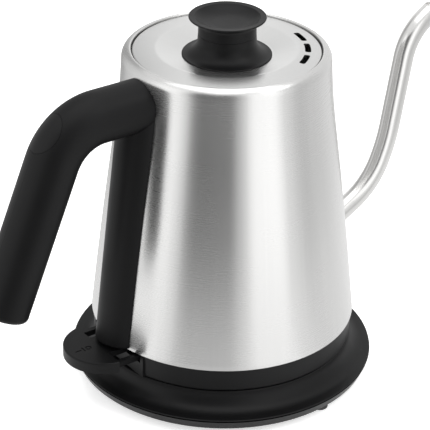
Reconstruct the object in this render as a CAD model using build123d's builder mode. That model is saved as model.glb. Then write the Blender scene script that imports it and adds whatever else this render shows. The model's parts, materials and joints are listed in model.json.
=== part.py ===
"""Cordless electric gooseneck kettle on its power base.

The origin is on the kettle's vertical axis, on the surface that the feet stand on.
+Z is up, +X points to the spout and -X to the grip. All sizes are in millimetres.
"""

import os
from math import cos, radians, sin

from build123d import *

os.makedirs("parts", exist_ok=True)

# ---- driving dimensions ---------------------------------------------------------------
STEEL_Z = 33.5  # height of the steel body's lower edge
WALL = 0.8  # steel sheet
FIT = 0.15  # gap between pieces of one body
SEAT_GAP = 0.05  # gap where one body rests on another

# steel body
BODY_R = 70.0  # at the lower edge
BODY_MID_R, BODY_MID_Z = 63.8, STEEL_Z + 54.0
BODY_TOP_R, BODY_TOP_Z = 56.7, STEEL_Z + 108.0
NECK_R, NECK_Z = 53.45, STEEL_Z + 144.0
MOUTH_Z = STEEL_Z + 148.7  # top face of the shoulder and of the lid
THROAT_R = 48.6
LEDGE_R, LEDGE_Z = 44.6, MOUTH_Z - 6.8  # the lid's gasket rests here
FLOOR_Z = STEEL_Z + 8.0  # underside of the kettle's floor
FLOOR_R, FLOOR_RIM_Z = 68.2, STEEL_Z + 3.0

# grip: arm, bend and grip are one round bar, and the spine is the same bar sunk in the wall
GRIP_R, GRIP_WALL, GRIP_END_WALL = 13.5, 2.8, 4.0
ARM_Z = STEEL_Z + 130.8
BEND_X, BEND_R = -96.9, 29.0
GRIP_END_X, GRIP_END_Z = -135.9, STEEL_Z + 37.5
GRIP_END_ROUND = 3.0
SPINE_Z, SPINE_WALL = STEEL_Z + 0.6, 2.4
SPINE_SINK = 4.9  # how far the spine's axis lies inside the wall
PLUG_ANGLE = 43.0  # where the plug sits on the bend, above level
PLUG_W, PLUG_L, PLUG_T = 17.0, 22.0, 2.2
BULKHEAD_X, BULKHEAD_T = -74.0, 3.0
BRACKET_X, BRACKET_R, BRACKET_T = -57.6, 9.5, 1.5
SCREW_R, SCREW_HEAD_R = 2.4, 4.2
DOWEL_R, DOWEL_L, DOWEL_BOSS_R = 1.5, 12.0, 3.2
DOWEL_SPOTS = (0.4, 0.85)  # places along the straight grip, as shares of its length

# steam tube in the spine
STEAM_R, STEAM_OFF = 2.3, 3.3
STEAM_OUT_Z, STEAM_IN_Z = ARM_Z - 16.4, STEEL_Z + 4.6
STEAM_BEND = 4.5

# spout
SPOUT_ROUTE = [
    (62.0, STEEL_Z + 21.2),
    (100.9, STEEL_Z + 41.8),
    (110.65, STEEL_Z + 66.5),
    (121.6, STEEL_Z + 126.8),
    (148.0, STEEL_Z + 143.55),
]
SPOUT_BENDS = [42.0, 85.0, 30.0]
SPOUT_R, SPOUT_BORE = 5.6, 4.8
TIP_X, TIP_Z, TIP_TILT = 141.6, STEEL_Z + 139.5, 10.0  # the tip's cut leans forward

# lid and knob
LID_R, LID_RIM_Z = 47.9, MOUTH_Z - 3.8
LID_CREST_R, LID_CREST_Z, LID_EDGE_Z = 36.0, MOUTH_Z - 0.1, MOUTH_Z - 0.9
LID_DISH_R, LID_DISH_Z = 23.5, MOUTH_Z - 3.4
VENT_R, VENT_W, VENT_ARC, VENT_ROUND = 40.9, 3.1, 15.4, 1.1
VENT_ANGLES = (-13.0, -33.2, -53.6)
GASKET_IN_R, GASKET_OUT_R, GASKET_T = 44.9, 47.6, 1.9
PAN_R, PAN_Z, PAN_FLANGE_R = 43.6, MOUTH_Z - 12.2, 47.3
KNOB_FOOT_R, KNOB_FOOT_Z = 22.9, LID_DISH_Z + 0.05
KNOB_WAIST_R, KNOB_WAIST_Z = 14.75, STEEL_Z + 156.5
KNOB_FLARE_R, KNOB_FLARE_Z = 15.0, KNOB_WAIST_Z - 3.4
KNOB_RIM_R, KNOB_TOP_Z, KNOB_RIM_T = 19.65, STEEL_Z + 165.9, 0.9
KNOB_BAND_R, KNOB_DISH_FLAT_R, KNOB_DISH_Z = 16.7, 8.0, KNOB_TOP_Z - 3.2
SPIGOT_R, SPIGOT_Z = 9.0, KNOB_WAIST_Z + 3.0
KNOB_SCREW_R = 2.0

# kettle underside
SKIRT_R, SKIRT_Z, SKIRT_WALL = 69.3, STEEL_Z - 12.7, 2.4
SKIRT_TOP_Z, SKIRT_LIP_R, SKIRT_LIP_Z = STEEL_Z - 0.1, 68.6, STEEL_Z + 2.8
SKIRT_HOLE_R = 19.5
POCKET_Y, POCKET_X, POCKET_FLOOR_X = 20.0, -52.0, -66.6
POCKET_WALL_X, POCKET_WALL_Z = -65.3, 28.4  # low wall behind the lever
SKIRT_ROUND = 1.2
POST_CIRCLE, POST_R, POST_TOP_Z = 61.0, 3.6, 27.0
SKIRT_SCREW_ANGLES = (0, 120, 240)
SOCKET_R, SOCKET_Z, SOCKET_TOP_Z = 17.0, SKIRT_Z + 0.1, STEEL_Z + 1.0
SOCKET_BORE, SOCKET_ROOF_Z = 10.2, 30.0
PIN_R, BLADE_IN_R, BLADE_OUT_R = 2.3, 5.6, 6.3
HOUSING_R, HOUSING_Z, HOUSING_TOP_Z = 26.0, SKIRT_Z + SKIRT_WALL + 0.1, STEEL_Z + 3.2
HOUSING_BORE = SOCKET_R + 0.35
CHEEK_X, CHEEK_IN_Y, CHEEK_OUT_Y, CHEEK_TOP_Z = -39.0, 5.4, 8.0, 30.5
SENSOR_X, SENSOR_R, SENSOR_Z = -50.0, 8.5, STEEL_Z
DISC_R = 7.1

# heater
PLATE_R, PLATE_T = 56.0, 2.9
ELEMENT_R, SHEATH_R, ELEMENT_END = 44.0, 3.3, 150

# lever
PIVOT_X, PIVOT_Z, PIVOT_R = -62.0, 29.3, 1.25
PADDLE_X, PADDLE_R, PADDLE_EDGE_X = -76.5, 20.7, -79.5
PADDLE_TOP_Z, PADDLE_T = STEEL_Z + 0.5, 6.0
ARM_IN_Y, ARM_OUT_Y, ARM_LOW_Z, ARM_TOP_Z = 15.9, 18.4, 29.2, 32.3
HUB_R = 3.0
TAB_Y, TAB_LOW_Z, TAB_TOP_Z = 9.0, 30.0, 33.0
BAR_X0, BAR_X1, BAR_LOW_Z, BAR_TOP_Z = -60.5, -57.0, 28.0, 31.0
FINGER_X, FINGER_Y, FINGER_LOW_Z, FINGER_TOP_Z = -42.0, 4.0, 23.9, 25.7
MARK_DEPTH, MARK_W = 0.35, 0.7
ROCKER_X, ROCKER_Z, ROCKER_PIN_R = -34.0, 27.0, 1.0
ROCKER_OUT_X, ROCKER_IN_X, ROCKER_Y = -43.2, -27.6, 4.9
ROCKER_LOW_Z, ROCKER_TOP_Z = 26.6, 28.9

# power base
BASE_Z, BASE_R, SEAM_Z, SEAM_R = 4.0, 78.6, 9.1, 80.6
BASE_SHELL, TONGUE_R, TONGUE_T, TONGUE_Z = 2.2, 78.2, 1.6, 7.2
RIM_R, RIM_Z, RIM_LOW_Z, RIM_FLAT_R = 80.4, 10.2, 9.7, 76.8
LIP_R, LIP_Z = 68.3, 20.2
WELL_R, WELL_Z = 65.3, 16.0
REST_R, REST_W = 57.0, 3.0
FOOT_CIRCLE, FOOT_R, FOOT_ANGLE, FOOT_STUB = 72.0, 4.35, 40.0, 1.2
BASE_SCREW_CIRCLE, BASE_SCREW_ANGLES = 50.0, (70, 190, 310)
CORD_ANGLE, CORD_R, GLAND_R, GLAND_Z = 100.0, 3.1, 4.1, 8.6
GLAND_IN, GLAND_OUT, HOOD_R = 70.0, 84.5, 5.6
CLAMP_CIRCLE, CLAMP_Y, CLAMP_Z, CLAMP_T = 59.0, 9.5, 11.8, 1.2
CONNECTOR_R, CONNECTOR_Z, CONNECTOR_TOP_Z = 18.6, 7.4, 17.5
EAR_R, EAR_Z, EAR_T, EAR_SCREW = 27.0, 11.6, 2.0, 23.5
TOWER_R, TOWER_Z = 9.5, 29.0
PIN_HOLE_R, PIN_HOLE_Z, RING_IN_R, RING_OUT_R, RING_Z = 3.3, 14.0, 4.7, 7.3, 17.0


def save(part, name):
    """Label one finished piece and write its STEP file."""
    part.label = name
    export_step(part, f"parts/{name}.step")


def upright(bearing):
    """Vertical plane through the kettle's axis: local X runs outwards, local Y runs up."""
    a = radians(bearing)
    return Plane(origin=(0, 0, 0), x_dir=(cos(a), sin(a), 0), z_dir=(sin(a), -cos(a), 0))


def facing_out(bearing, distance, z):
    """Plane that faces outwards at this bearing: local X is level."""
    a = radians(bearing)
    return Plane(
        origin=(distance * cos(a), distance * sin(a), z),
        x_dir=(-sin(a), cos(a), 0),
        z_dir=(cos(a), sin(a), 0),
    )


def body_side(inset):
    """The body's curved side, drawn upwards, moved inwards by inset. Returns its last arc."""
    side = ThreePointArc(
        (BODY_R - inset, STEEL_Z), (BODY_MID_R - inset, BODY_MID_Z), (BODY_TOP_R - inset, BODY_TOP_Z)
    )
    return TangentArc(side @ 1, (NECK_R - inset, NECK_Z), tangent=side % 1)


def wall_radius(z):
    """Radius of the body's outer face at height z, close enough to place what lies on it."""
    if z < BODY_TOP_Z:
        share = (z - STEEL_Z) / (BODY_TOP_Z - STEEL_Z)
        bulge = 4 * BODY_MID_R - 2 * (BODY_R + BODY_TOP_R)
        return BODY_R + (BODY_TOP_R - BODY_R) * share + bulge * share * (1 - share)
    share = (z - BODY_TOP_Z) / (NECK_Z - BODY_TOP_Z)
    return BODY_TOP_R + (NECK_R - BODY_TOP_R) * share * (1.3 - 0.3 * share)


def upright_cylinder(x, y, radius, low, high, mode=Mode.ADD):
    """Vertical cylinder between two heights, in the open part."""
    with Locations((x, y, (low + high) / 2)):
        Cylinder(radius, high - low, mode=mode)


def level_cylinder(x, z, radius, low, high, mode=Mode.ADD):
    """Cylinder along Y between two places, in the open part."""
    with Locations((x, (low + high) / 2, z)):
        Cylinder(radius, high - low, rotation=(90, 0, 0), mode=mode)


def block(x, y, z, mode=Mode.ADD):
    """Box from three (low, high) pairs, in the open part."""
    with Locations(((x[0] + x[1]) / 2, (y[0] + y[1]) / 2, (z[0] + z[1]) / 2)):
        Box(x[1] - x[0], y[1] - y[0], z[1] - z[0], mode=mode)


def on_circle(radius, bearing):
    """X and Y of a point on a circle about the kettle's axis."""
    return radius * cos(radians(bearing)), radius * sin(radians(bearing))


# ---- steel body -----------------------------------------------------------------------
with BuildPart() as body_solid:
    with BuildSketch(Plane.XZ):
        with BuildLine():
            Line((0, STEEL_Z), (BODY_R, STEEL_Z))
            neck = body_side(0)
            shoulder = TangentArc(neck @ 1, (THROAT_R + 0.4, MOUTH_Z), tangent=neck % 1)
            Polyline(shoulder @ 1, (0, MOUTH_Z), (0, STEEL_Z))
        make_face()
    revolve(axis=Axis.Z)

with BuildPart() as body_room:
    with BuildSketch(Plane.XZ):
        with BuildLine():
            Line((0, STEEL_Z), (BODY_R - WALL, STEEL_Z))
            inner_neck = body_side(WALL)
            inner_shoulder = TangentArc(
                inner_neck @ 1, (THROAT_R + WALL, MOUTH_Z - 1.2), tangent=inner_neck % 1
            )
            Polyline(
                inner_shoulder @ 1,
                (THROAT_R + WALL, LEDGE_Z - WALL),
                (0, LEDGE_Z - WALL),
                (0, STEEL_Z),
            )
        make_face()
    revolve(axis=Axis.Z)

# a slightly larger body, cut from the pieces that stand against it
with BuildPart() as body_cutter:
    with BuildSketch(Plane.XZ):
        with BuildLine():
            Polyline((0, 0), (BODY_R + FIT, 0), (BODY_R + FIT, STEEL_Z))
            cutter_neck = body_side(-FIT)
            Polyline(cutter_neck @ 1, (NECK_R + FIT, MOUTH_Z), (0, MOUTH_Z), (0, 0))
        make_face()
    revolve(axis=Axis.Z)

SPOUT_ROOT = Plane(
    origin=(SPOUT_ROUTE[0][0], 0, SPOUT_ROUTE[0][1]),
    x_dir=(0, 1, 0),
    z_dir=(SPOUT_ROUTE[1][0] - SPOUT_ROUTE[0][0], 0, SPOUT_ROUTE[1][1] - SPOUT_ROUTE[0][1]),
)

with BuildPart() as steel_body:
    add(body_solid.part)
    add(body_room.part, mode=Mode.SUBTRACT)
    upright_cylinder(0, 0, THROAT_R, LEDGE_Z, MOUTH_Z + 1, Mode.SUBTRACT)
    upright_cylinder(0, 0, LEDGE_R, LEDGE_Z - 2 * WALL, LEDGE_Z + 1, Mode.SUBTRACT)
    with BuildSketch(SPOUT_ROOT):
        Circle(SPOUT_R + FIT)
    extrude(amount=14, mode=Mode.SUBTRACT)
    for hole_z in (STEAM_OUT_Z, STEAM_IN_Z):
        with BuildSketch(facing_out(180, 48, hole_z)):
            Circle(STEAM_R + 0.6)
        extrude(amount=25, mode=Mode.SUBTRACT)
save(steel_body.part, "steel_body")

# ---- floor and heater -----------------------------------------------------------------
with BuildPart() as floor_plate:
    with BuildSketch(Plane.XZ):
        with BuildLine():
            Polyline(
                (0, FLOOR_Z),
                (FLOOR_R - WALL, FLOOR_Z),
                (FLOOR_R - WALL, FLOOR_RIM_Z),
                (FLOOR_R, FLOOR_RIM_Z),
                (FLOOR_R, FLOOR_Z + WALL),
                (0, FLOOR_Z + WALL),
                close=True,
            )
        make_face()
    revolve(axis=Axis.Z)
    for bearing in SKIRT_SCREW_ANGLES:
        x, y = on_circle(POST_CIRCLE, bearing)
        upright_cylinder(x, y, POST_R, POST_TOP_Z, FLOOR_Z + WALL / 2)
        upright_cylinder(x, y, 1.6, POST_TOP_Z, POST_TOP_Z + 10, Mode.SUBTRACT)
    with BuildSketch(facing_out(180, 60, STEAM_IN_Z)):
        Circle(STEAM_R + 0.2)
    extrude(amount=12, mode=Mode.SUBTRACT)
save(floor_plate.part, "floor_plate")

PLATE_Z = FLOOR_Z - PLATE_T
with BuildPart() as heat_plate:
    upright_cylinder(0, 0, PLATE_R, PLATE_Z, FLOOR_Z)
save(heat_plate.part, "heat_plate")

ELEMENT_Z = PLATE_Z - SHEATH_R
with BuildPart() as heating_element:
    with BuildSketch(upright(-ELEMENT_END)):
        with Locations((ELEMENT_R, ELEMENT_Z)):
            Circle(SHEATH_R)
    revolve(axis=Axis.Z, revolution_arc=2 * ELEMENT_END)
save(heating_element.part, "heating_element")

with BuildPart() as element_terminals:
    for bearing in (2 - ELEMENT_END, ELEMENT_END - 2):
        x, y = on_circle(ELEMENT_R, bearing)
        upright_cylinder(x, y, 1.3, HOUSING_Z + 1.5, ELEMENT_Z - SHEATH_R - SEAT_GAP)
save(element_terminals.part, "element_terminals")

# ---- control under the floor ----------------------------------------------------------
with BuildPart() as control_housing:
    upright_cylinder(0, 0, HOUSING_R, HOUSING_Z, HOUSING_TOP_Z)
    block((CHEEK_X, -HOUSING_R + 4), (-CHEEK_OUT_Y, CHEEK_OUT_Y), (HOUSING_Z, CHEEK_TOP_Z))
    between_cheeks = (-CHEEK_IN_Y, CHEEK_IN_Y)
    cheek_height = (HOUSING_Z - 1, CHEEK_TOP_Z + 1)
    block((CHEEK_X - 1, -HOUSING_R + 1), between_cheeks, cheek_height, Mode.SUBTRACT)
    block((SENSOR_X, -HOUSING_R + 4), between_cheeks, (HOUSING_TOP_Z - 1.6, HOUSING_TOP_Z))
    upright_cylinder(SENSOR_X, 0, SENSOR_R, SENSOR_Z, HOUSING_TOP_Z)
    upright_cylinder(SENSOR_X, 0, DISC_R + 0.2, SENSOR_Z + 0.8, HOUSING_TOP_Z + 1, Mode.SUBTRACT)
    upright_cylinder(SENSOR_X, 0, DISC_R - 1.2, SENSOR_Z - 1, HOUSING_TOP_Z, Mode.SUBTRACT)
    upright_cylinder(0, 0, HOUSING_BORE, HOUSING_Z - 1, SOCKET_TOP_Z + 0.3, Mode.SUBTRACT)
    pin_span = (-CHEEK_OUT_Y - 1, CHEEK_OUT_Y + 1)
    level_cylinder(ROCKER_X, ROCKER_Z, ROCKER_PIN_R + 0.02, *pin_span, Mode.SUBTRACT)
save(control_housing.part, "control_housing")

with BuildPart() as steam_disc:
    upright_cylinder(SENSOR_X, 0, DISC_R, SENSOR_Z + 0.85, SENSOR_Z + 1.25)
save(steam_disc.part, "steam_disc")

with BuildPart() as dry_boil_discs:
    for x in (-13, 13):
        upright_cylinder(x, 0, 6.5, HOUSING_TOP_Z + 0.6, HOUSING_TOP_Z + 1.0)
save(dry_boil_discs.part, "dry_boil_discs")

with BuildPart() as rocker_pin:
    level_cylinder(ROCKER_X, ROCKER_Z, ROCKER_PIN_R, -CHEEK_OUT_Y, CHEEK_OUT_Y)
save(rocker_pin.part, "rocker_pin")

with BuildPart() as trip_rocker:
    block((ROCKER_OUT_X, ROCKER_IN_X), (-ROCKER_Y, ROCKER_Y), (ROCKER_LOW_Z, ROCKER_TOP_Z))
    level_cylinder(ROCKER_X, ROCKER_Z, 2.4, -ROCKER_Y, ROCKER_Y)
    level_cylinder(ROCKER_X, ROCKER_Z, ROCKER_PIN_R + 0.08, -ROCKER_Y - 1, ROCKER_Y + 1, Mode.SUBTRACT)
save(trip_rocker.part, "trip_rocker")

with BuildPart() as toggle_spring:
    with BuildSketch(Plane.XZ):
        with BuildLine():
            bow = CenterArc((-32.5, 32.6), 1.9, -60, 300)
        trace(bow, line_width=0.4)
    extrude(amount=2.0, both=True)
save(toggle_spring.part, "toggle_spring")

# the socket and its contacts are round about the axis, so they serve every bearing
with BuildPart() as socket:
    upright_cylinder(0, 0, SOCKET_R, SOCKET_Z, SOCKET_TOP_Z)
    upright_cylinder(0, 0, SOCKET_BORE, SOCKET_Z - 1, SOCKET_ROOF_Z, Mode.SUBTRACT)
save(socket.part, "socket")

with BuildPart() as socket_contacts:
    upright_cylinder(0, 0, PIN_R, SOCKET_Z, SOCKET_ROOF_Z - SEAT_GAP)
    with BuildSketch(Plane.XY.offset(SOCKET_Z)):
        Circle(BLADE_OUT_R)
        Circle(BLADE_IN_R, mode=Mode.SUBTRACT)
    extrude(amount=SOCKET_ROOF_Z - SEAT_GAP - SOCKET_Z)
save(socket_contacts.part, "socket_contacts")

# ---- skirt ----------------------------------------------------------------------------
with BuildPart() as skirt:
    with BuildSketch(Plane.XZ):
        with BuildLine():
            Line((SKIRT_HOLE_R, SKIRT_Z), (SKIRT_R - 0.4 - SKIRT_ROUND, SKIRT_Z))
            RadiusArc(
                (SKIRT_R - 0.4 - SKIRT_ROUND, SKIRT_Z), (SKIRT_R - 0.4, SKIRT_Z + SKIRT_ROUND), -SKIRT_ROUND
            )
            Polyline(
                (SKIRT_R - 0.4, SKIRT_Z + SKIRT_ROUND),
                (SKIRT_R, SKIRT_TOP_Z),
                (SKIRT_LIP_R, SKIRT_TOP_Z),
                (SKIRT_LIP_R - 0.1, SKIRT_LIP_Z),
                (SKIRT_R - SKIRT_WALL, SKIRT_LIP_Z),
                (SKIRT_R - SKIRT_WALL, SKIRT_Z + SKIRT_WALL),
                (SKIRT_HOLE_R, SKIRT_Z + SKIRT_WALL),
                (SKIRT_HOLE_R, SKIRT_Z),
            )
        make_face()
    revolve(axis=Axis.Z)
    across = (-POCKET_Y, POCKET_Y)
    above_floor = (SKIRT_Z + SKIRT_WALL, SKIRT_LIP_Z + 1)
    block((-BODY_R - 2, POCKET_X), across, above_floor, Mode.SUBTRACT)
    block((-BODY_R - 2, POCKET_FLOOR_X), across, (SKIRT_Z - 1, SKIRT_LIP_Z + 1), Mode.SUBTRACT)
    block((POCKET_FLOOR_X, POCKET_WALL_X), across, (SKIRT_Z, POCKET_WALL_Z))
    for side in (-1, 1):
        span = sorted((side * POCKET_Y, side * (POCKET_Y + SKIRT_WALL)))
        block((POCKET_FLOOR_X, POCKET_X), span, (SKIRT_Z, STEEL_Z - 0.6))
        pin_span = sorted((side * (POCKET_Y - 1), side * (POCKET_Y + SKIRT_WALL - 0.2)))
        level_cylinder(PIVOT_X, PIVOT_Z, PIVOT_R + 0.02, *pin_span, Mode.SUBTRACT)
    for bearing in SKIRT_SCREW_ANGLES:
        x, y = on_circle(POST_CIRCLE, bearing)
        upright_cylinder(x, y, 5.0, SKIRT_Z, POST_TOP_Z - SEAT_GAP)
        upright_cylinder(x, y, 3.4, SKIRT_Z - 1, SKIRT_Z + 3.6, Mode.SUBTRACT)
        upright_cylinder(x, y, 1.9, SKIRT_Z, POST_TOP_Z + 1, Mode.SUBTRACT)
save(skirt.part, "skirt")

with BuildPart() as skirt_screws:
    for bearing in SKIRT_SCREW_ANGLES:
        x, y = on_circle(POST_CIRCLE, bearing)
        upright_cylinder(x, y, 3.0, SKIRT_Z + 1.5, SKIRT_Z + 3.6)
        upright_cylinder(x, y, 1.55, SKIRT_Z + 3.5, POST_TOP_Z + 8)
        upright_cylinder(x, y, 0.9, SKIRT_Z + 1, SKIRT_Z + 2.5, Mode.SUBTRACT)
save(skirt_screws.part, "skirt_screws")

# ---- lever ----------------------------------------------------------------------------
with BuildPart() as switch_lever:
    with BuildSketch(Plane.XY.offset(PADDLE_TOP_Z - PADDLE_T)):
        with Locations((PADDLE_X, 0)):
            Circle(PADDLE_R)
        with Locations((PADDLE_EDGE_X + 50, 0)):
            Rectangle(100, 100, mode=Mode.SUBTRACT)
    extrude(amount=PADDLE_T)
    fillet(switch_lever.faces().sort_by(Axis.Z)[-1].edges().filter_by(GeomType.CIRCLE), 0.8)
    for side in (-1, 1):
        span = sorted((side * ARM_IN_Y, side * ARM_OUT_Y))
        block((PADDLE_EDGE_X - 1.5, PIVOT_X), span, (ARM_LOW_Z, ARM_TOP_Z))
        block((PIVOT_X, BAR_X1), span, (PIVOT_Z - 2, ARM_TOP_Z - 1.6))
        level_cylinder(PIVOT_X, PIVOT_Z, HUB_R, *span)
        bore_span = sorted((side * (ARM_IN_Y - 1), side * (ARM_OUT_Y + 1)))
        level_cylinder(PIVOT_X, PIVOT_Z, PIVOT_R + 0.08, *bore_span, Mode.SUBTRACT)
    block((PADDLE_EDGE_X - 1.5, BAR_X0 + 1), (-TAB_Y, TAB_Y), (TAB_LOW_Z, TAB_TOP_Z))
    block((BAR_X0, BAR_X1), (-ARM_OUT_Y, ARM_OUT_Y), (BAR_LOW_Z, BAR_TOP_Z))
    block((BAR_X0, BAR_X1), (-FINGER_Y, FINGER_Y), (FINGER_LOW_Z, BAR_TOP_Z))
    block((BAR_X0, FINGER_X), (-FINGER_Y, FINGER_Y), (FINGER_LOW_Z, FINGER_TOP_Z))
    # on and off marks, read from the outside: a bar, a divider and a ring
    with BuildSketch(Plane.XY.offset(PADDLE_TOP_Z)):
        with Locations((-91.4, 0)):
            Rectangle(3.6, MARK_W)
        with Locations((-88.3, 0)):
            Rectangle(MARK_W, 3.8)
        with Locations((-85.3, 0)):
            Circle(1.7)
            Circle(1.7 - MARK_W, mode=Mode.SUBTRACT)
    extrude(amount=-MARK_DEPTH, mode=Mode.SUBTRACT)
save(switch_lever.part, "switch_lever")

with BuildPart() as lever_pins:
    for side in (-1, 1):
        span = sorted((side * (ARM_IN_Y - 0.5), side * (POCKET_Y + SKIRT_WALL - 0.3)))
        level_cylinder(PIVOT_X, PIVOT_Z, PIVOT_R, *span)
save(lever_pins.part, "lever_pins")

# ---- grip -----------------------------------------------------------------------------
grip_dir = Vector(GRIP_END_X - BEND_X, 0, GRIP_END_Z - ARM_Z).normalized()
GRIP_START_X = -46.0


def grip_path(shorter=0.0):
    """Centre line of arm, bend and grip, in the open line block."""
    end = (GRIP_END_X - grip_dir.X * shorter, GRIP_END_Z - grip_dir.Z * shorter)
    return FilletPolyline((GRIP_START_X, ARM_Z), (BEND_X, ARM_Z), end, radius=BEND_R)


def round_bar(radius, shorter=0.0):
    """Round bar along the grip's centre line, in the open part."""
    with BuildLine(Plane.XZ) as route:
        grip_path(shorter)
    with BuildSketch(Plane(origin=(GRIP_START_X, 0, ARM_Z), x_dir=(0, 1, 0), z_dir=(-1, 0, 0))) as section:
        Circle(radius)
    sweep(sections=section.sketch, path=route.wires()[0])


with BuildPart() as grip_bar:
    round_bar(GRIP_R)
    fillet(grip_bar.edges().filter_by(GeomType.CIRCLE).sort_by(Axis.Z)[0], GRIP_END_ROUND)

with BuildPart() as grip_room:
    round_bar(GRIP_R - GRIP_WALL, GRIP_END_WALL)

with BuildPart() as plug_room:
    round_bar(GRIP_R - PLUG_T)

with BuildLine(Plane.XZ) as bend_finder:
    bend_arc = grip_path()
bend_centre = bend_finder.edges().filter_by(GeomType.CIRCLE)[0].arc_center
plug_dir = (-cos(radians(PLUG_ANGLE)), 0, sin(radians(PLUG_ANGLE)))
PLUG_PLANE = Plane(origin=bend_centre, x_dir=(0, 1, 0), z_dir=plug_dir).offset(BEND_R)

with BuildPart() as grip_plug:
    with BuildSketch(PLUG_PLANE):
        Ellipse(PLUG_W / 2, PLUG_L / 2)
    extrude(amount=20)
    add(grip_bar.part, mode=Mode.INTERSECT)
    add(plug_room.part, mode=Mode.SUBTRACT)
save(grip_plug.part, "grip_plug")

straight_start = Vector(BEND_X, 0, ARM_Z) + grip_dir * 19.3
straight_end = Vector(GRIP_END_X, 0, GRIP_END_Z)
dowel_places = [straight_start + (straight_end - straight_start) * share for share in DOWEL_SPOTS]

with BuildPart() as grip_shell:
    add(grip_bar.part)
    add(grip_room.part, mode=Mode.SUBTRACT)
    with BuildSketch(Plane.YZ.offset(BULKHEAD_X)):
        with Locations((0, ARM_Z)):
            Circle(GRIP_R - 1)
            Circle(SCREW_R + 0.4, mode=Mode.SUBTRACT)
    extrude(amount=BULKHEAD_T)
    for place in dowel_places:
        boss_end = GRIP_R - GRIP_WALL + 0.5
        hole_end = DOWEL_L / 2 + 0.2
        level_cylinder(place.X, place.Z, DOWEL_BOSS_R, -boss_end, boss_end)
        level_cylinder(place.X, place.Z, DOWEL_R + 0.02, -hole_end, hole_end, Mode.SUBTRACT)
    with BuildSketch(PLUG_PLANE):
        Ellipse(PLUG_W / 2 + FIT, PLUG_L / 2 + FIT)
    extrude(amount=20, mode=Mode.SUBTRACT)
    add(body_cutter.part, mode=Mode.SUBTRACT)

with BuildPart() as grip_right:
    add(grip_shell.part)
    split(bisect_by=Plane.XZ, keep=Keep.TOP)
save(grip_right.part, "grip_right")

with BuildPart() as grip_left:
    add(grip_shell.part)
    split(bisect_by=Plane.XZ, keep=Keep.BOTTOM)
save(grip_left.part, "grip_left")

with BuildPart() as grip_dowels:
    for place in dowel_places:
        level_cylinder(place.X, place.Z, DOWEL_R, -DOWEL_L / 2, DOWEL_L / 2)
save(grip_dowels.part, "grip_dowels")

ACROSS_ARM = Plane(origin=(0, 0, ARM_Z), x_dir=(0, 1, 0), z_dir=(-1, 0, 0))
with BuildPart() as grip_bracket:
    with BuildSketch(ACROSS_ARM.offset(48)):
        Circle(BRACKET_R)
        Circle(BRACKET_R - BRACKET_T, mode=Mode.SUBTRACT)
    extrude(amount=-BRACKET_X - 48 - BRACKET_T / 2)
    with BuildSketch(ACROSS_ARM.offset(-BRACKET_X - BRACKET_T)):
        Circle(BRACKET_R)
    extrude(amount=BRACKET_T)
    with BuildSketch(ACROSS_ARM.offset(-BRACKET_X - BRACKET_T / 2)):
        Circle(4.6)
    extrude(amount=11)
    with BuildSketch(ACROSS_ARM.offset(-BRACKET_X)):
        Circle(SCREW_R + 0.02)
    extrude(amount=20, mode=Mode.SUBTRACT)
    add(body_cutter.part, mode=Mode.SUBTRACT)
save(grip_bracket.part, "grip_bracket")

with BuildPart() as grip_screw:
    with BuildSketch(ACROSS_ARM.offset(-BRACKET_X + 1.5)):
        Circle(SCREW_R)
    extrude(amount=-BULKHEAD_X + BRACKET_X - 1.0)
    with BuildSketch(ACROSS_ARM.offset(-BULKHEAD_X + SEAT_GAP)):
        Circle(SCREW_HEAD_R)
    extrude(amount=3.4)
    with BuildSketch(ACROSS_ARM.offset(-BULKHEAD_X + 1.8)):
        RegularPolygon(2.0, 6)
    extrude(amount=4, mode=Mode.SUBTRACT)
save(grip_screw.part, "grip_screw")

# ---- spine and steam tube -------------------------------------------------------------
SPINE_MID_Z = (SPINE_Z + ARM_Z) / 2


def spine_bar(radius, low):
    """Round bar that follows the wall from a low end up to the arm, in the open part."""
    with BuildLine(Plane.XZ) as route:
        ThreePointArc(
            (SPINE_SINK - wall_radius(low), low),
            (SPINE_SINK - wall_radius(SPINE_MID_Z), SPINE_MID_Z),
            (SPINE_SINK - wall_radius(ARM_Z), ARM_Z),
        )
    start = route.wires()[0]
    with BuildSketch(Plane(origin=start @ 0, x_dir=(0, 1, 0), z_dir=start % 0)) as section:
        Circle(radius)
    sweep(sections=section.sketch, path=start)


with BuildPart() as spine_room:
    spine_bar(GRIP_R - SPINE_WALL, SPINE_Z + 1.2)

with BuildPart() as spine:
    spine_bar(GRIP_R, SPINE_Z)
    add(spine_room.part, mode=Mode.SUBTRACT)
    add(body_cutter.part, mode=Mode.SUBTRACT)
    with BuildSketch(ACROSS_ARM.offset(40)):
        Circle(GRIP_R + FIT)
    extrude(amount=60, mode=Mode.SUBTRACT)
save(spine.part, "spine")

with BuildPart() as steam_tube:
    with BuildLine(Plane.XZ) as steam_route:
        FilletPolyline(
            (2.6 - wall_radius(STEAM_OUT_Z), STEAM_OUT_Z),
            (-wall_radius(STEAM_OUT_Z) - STEAM_OFF, STEAM_OUT_Z),
            (-wall_radius(SPINE_MID_Z) - STEAM_OFF, SPINE_MID_Z),
            (-wall_radius(STEAM_IN_Z) - STEAM_OFF, STEAM_IN_Z),
            (PIVOT_X + 1, STEAM_IN_Z),
            radius=[STEAM_BEND, 300, STEAM_BEND],
        )
    with BuildSketch(
        Plane(
            origin=(2.6 - wall_radius(STEAM_OUT_Z), 0, STEAM_OUT_Z), x_dir=(0, 1, 0), z_dir=(-1, 0, 0)
        )
    ):
        Circle(STEAM_R)
        Circle(STEAM_R - 0.8, mode=Mode.SUBTRACT)
    sweep(path=steam_route.wires()[0])
save(steam_tube.part, "steam_tube")

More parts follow.
